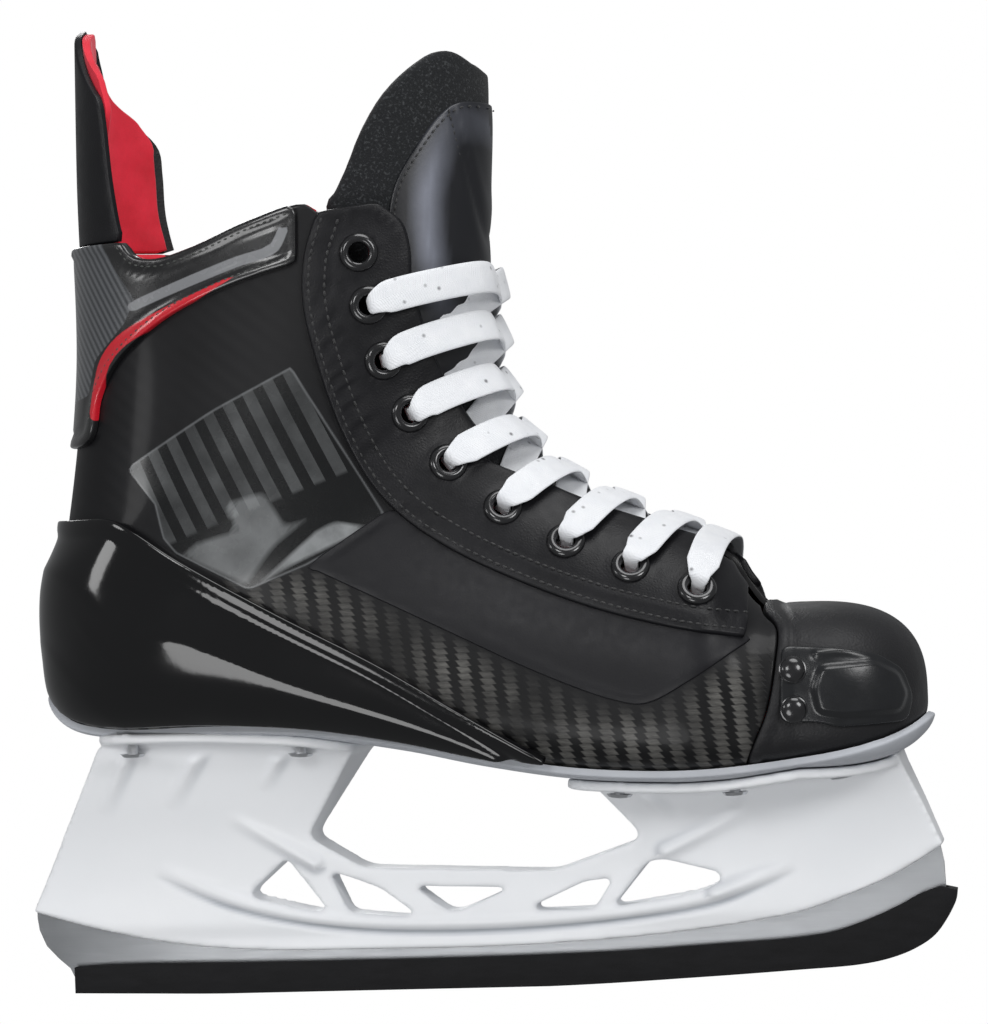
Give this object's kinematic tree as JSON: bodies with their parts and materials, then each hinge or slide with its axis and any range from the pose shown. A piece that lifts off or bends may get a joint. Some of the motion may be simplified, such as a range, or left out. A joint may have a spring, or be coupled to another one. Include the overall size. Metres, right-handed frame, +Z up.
{
  "type": "ice hockey skate",
  "caption": "Lasted hockey boot with laced facings, felt tongue, tendon guard and toe cap on a plastic blade holder, with a steel runner in a slip-on edge guard.",
  "frame": {"origin": "on the floor under the middle of the skate, where its edge guard stands", "axes": "+X to the toe, +Y to the inner side of the right foot, +Z up"},
  "size_m": [0.316, 0.1026, 0.332],
  "materials": {
    "guard_rubber": "moulded matte black, fine grain",
    "runner_steel": "brushed along its length",
    "holder_plastic": "satin moulded white nylon",
    "fastener_steel": "zinc plated",
    "sole_board": "grey moulded outsole, fine texture",
    "last_board": "fibre board",
    "footbed_foam": "knitted top cloth over moulded foam",
    "carbon_weave": "black twill composite below, embossed black synthetic above",
    "black_synthetic": "smooth black synthetic leather with double stitching",
    "black_gloss": "high gloss black",
    "toe_rubber": "pebbled black",
    "red_lining": "brushed red microfibre over foam",
    "grey_felt": "dense dark felt",
    "black_enamel": "gloss black enamel",
    "white_lace": "flat white weave with dark flecks"
  },
  "bodies": {
    "skate": {"runner": "runner_steel", "holder": "holder_plastic", "outsole": "sole_board", "lasting_board": "last_board", "footbed": "footbed_foam", "toe_cap": "toe_rubber", "heel_cup": "black_gloss", "collar_band": "black_gloss", "tongue_lower": "grey_felt", "lace": "white_lace", "quarter_outer": "carbon_weave", "facing_outer": "black_synthetic", "liner_outer": "red_lining", "toe_bumper_outer": "black_gloss", "quarter_inner": "carbon_weave", "facing_inner": "black_synthetic", "liner_inner": "red_lining", "toe_bumper_inner": "black_gloss", "rear_runner_bolt": "fastener_steel", "rear_runner_nut": "fastener_steel", "front_runner_bolt": "fastener_steel", "front_runner_nut": "fastener_steel", "front_sole_rivet_1": "fastener_steel", "front_sole_rivet_2": "fastener_steel", "front_sole_rivet_3": "fastener_steel", "front_sole_rivet_4": "fastener_steel", "front_sole_rivet_5": "fastener_steel", "front_sole_rivet_6": "fastener_steel", "rear_sole_rivet_1": "fastener_steel", "rear_sole_rivet_2": "fastener_steel", "rear_sole_rivet_3": "fastener_steel", "rear_sole_rivet_4": "fastener_steel", "eyelet_outer_1": "black_enamel", "eyelet_outer_2": "black_enamel", "eyelet_outer_3": "black_enamel", "eyelet_outer_4": "black_enamel", "eyelet_outer_5": "black_enamel", "eyelet_outer_6": "black_enamel", "eyelet_outer_7": "black_enamel", "eyelet_outer_8": "black_enamel", "eyelet_outer_9": "black_enamel", "eyelet_inner_1": "black_enamel", "eyelet_inner_2": "black_enamel", "eyelet_inner_3": "black_enamel", "eyelet_inner_4": "black_enamel", "eyelet_inner_5": "black_enamel", "eyelet_inner_6": "black_enamel", "eyelet_inner_7": "black_enamel", "eyelet_inner_8": "black_enamel", "eyelet_inner_9": "black_enamel", "toe_rivet_outer_1": "black_enamel", "toe_rivet_outer_2": "black_enamel", "toe_rivet_inner_1": "black_enamel", "toe_rivet_inner_2": "black_enamel"},
    "guard": {"blade_guard": "guard_rubber"},
    "tongue_flap": {"tongue_upper": "grey_felt", "tongue_shell": "black_gloss"},
    "tendon": {"tendon_guard": "black_synthetic", "tendon_liner": "red_lining"}
  },
  "joints": [
    {"name": "guard_pull", "type": "slide", "parent": "skate", "child": "guard", "axis": [0, 0, -1], "range_m": [0, 0.03]},
    {"name": "tongue_flop", "type": "hinge", "parent": "skate", "child": "tongue_flap", "pos_m": [0.0125, 0, 0.268], "axis": [0, 1, 0], "range_deg": [0, 50], "stiffness_Nm_per_rad": 0.2},
    {"name": "tendon_flex", "type": "hinge", "parent": "skate", "child": "tendon", "pos_m": [-0.137, 0, 0.256], "axis": [0, -1, 0], "range_deg": [0, 25], "stiffness_Nm_per_rad": 2}
  ]
}
